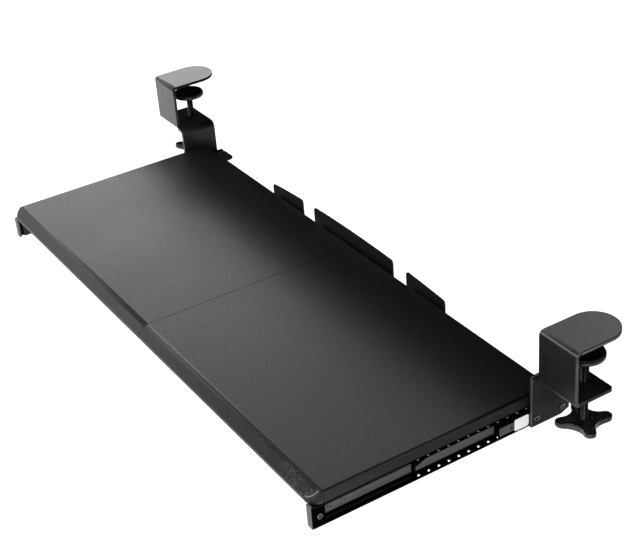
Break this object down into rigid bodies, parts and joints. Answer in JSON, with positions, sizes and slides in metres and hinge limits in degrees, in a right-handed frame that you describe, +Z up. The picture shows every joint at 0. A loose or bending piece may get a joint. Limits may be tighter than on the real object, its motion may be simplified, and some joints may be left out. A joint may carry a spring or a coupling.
{
  "type": "keyboard tray under desk",
  "caption": "Clamp-on keyboard tray for under a desk: two-piece black board on ball-bearing slides, hung from screw clamps with star knobs.",
  "frame": {"origin": "middle of the desk's front top edge, where the clamps sit; the tray is pulled out at rest", "axes": "+X to the user's right, +Y away from the user into the desk, +Z up"},
  "size_m": [0.8177, 0.3088, 0.1197],
  "materials": {
    "black_steel": "satin black powder coat",
    "black_zinc": "dark coated rail steel, oiled",
    "cage_steel": "black coated thin sheet",
    "ball_steel": "polished",
    "screw_steel": "black zinc plate",
    "dark_fastener": "black oxide",
    "board": "fibre board in fine grained black foil",
    "black_plastic": "fine moulded texture",
    "black_rubber": "matt",
    "label": "blank white paper"
  },
  "bodies": {
    "desk_clamps": {"left_clamp_bracket": "black_steel", "right_clamp_bracket": "black_steel", "left_jaw_pad": "black_rubber", "right_jaw_pad": "black_rubber", "left_clamp_nut": "dark_fastener", "right_clamp_nut": "dark_fastener", "left_fixed_rail": "black_zinc", "right_fixed_rail": "black_zinc", "left_rail_screws": "dark_fastener", "right_rail_screws": "dark_fastener", "left_rail_nuts": "dark_fastener", "right_rail_nuts": "dark_fastener", "right_rail_label": "label"},
    "tray": {"left_tray_board": "board", "right_tray_board": "board", "joint_plate": "black_steel", "joint_screws": "dark_fastener", "left_tray_rail": "black_zinc", "right_tray_rail": "black_zinc", "left_rail_bracket": "black_steel", "right_rail_bracket": "black_steel", "left_bracket_screws": "dark_fastener", "right_bracket_screws": "dark_fastener", "left_rail_rivets": "dark_fastener", "right_rail_rivets": "dark_fastener", "left_end_cap": "black_plastic", "right_end_cap": "black_plastic"},
    "left_cage": {"left_ball_cage": "cage_steel", "left_slide_balls": "ball_steel"},
    "right_cage": {"right_ball_cage": "cage_steel", "right_slide_balls": "ball_steel"},
    "left_pad": {"left_pressure_disc": "screw_steel", "left_disc_rubber": "black_rubber"},
    "right_pad": {"right_pressure_disc": "screw_steel", "right_disc_rubber": "black_rubber"},
    "left_screw": {"left_clamp_screw": "screw_steel", "left_clamp_knob": "black_plastic"},
    "right_screw": {"right_clamp_screw": "screw_steel", "right_clamp_knob": "black_plastic"}
  },
  "joints": [
    {"name": "tray_slide", "type": "slide", "parent": "desk_clamps", "child": "tray", "axis": [0, 1, 0], "range_m": [0, 0.19]},
    {"name": "left_cage_slide", "type": "slide", "parent": "desk_clamps", "child": "left_cage", "axis": [0, 1, 0], "range_m": [0, 0.095]},
    {"name": "right_cage_slide", "type": "slide", "parent": "desk_clamps", "child": "right_cage", "axis": [0, 1, 0], "range_m": [0, 0.095]},
    {"name": "left_pad_slide", "type": "slide", "parent": "desk_clamps", "child": "left_pad", "axis": [0, 0, 1], "range_m": [-0.02, 0.015]},
    {"name": "left_knob_turn", "type": "hinge", "parent": "left_pad", "child": "left_screw", "pos_m": [-0.3836, 0.03, -0.05], "axis": [0, 0, 1], "range_deg": [-5760, 4320]},
    {"name": "right_pad_slide", "type": "slide", "parent": "desk_clamps", "child": "right_pad", "axis": [0, 0, 1], "range_m": [-0.02, 0.015]},
    {"name": "right_knob_turn", "type": "hinge", "parent": "right_pad", "child": "right_screw", "pos_m": [0.3836, 0.03, -0.05], "axis": [0, 0, 1], "range_deg": [-5760, 4320]}
  ],
  "couplings": [
    {"joint": "left_cage_slide", "follows": "tray_slide", "ratio": 0.5},
    {"joint": "right_cage_slide", "follows": "tray_slide", "ratio": 0.5},
    {"joint": "left_knob_turn", "follows": "left_pad_slide", "rad_per_m": 5026.5},
    {"joint": "right_knob_turn", "follows": "right_pad_slide", "rad_per_m": 5026.5}
  ]
}
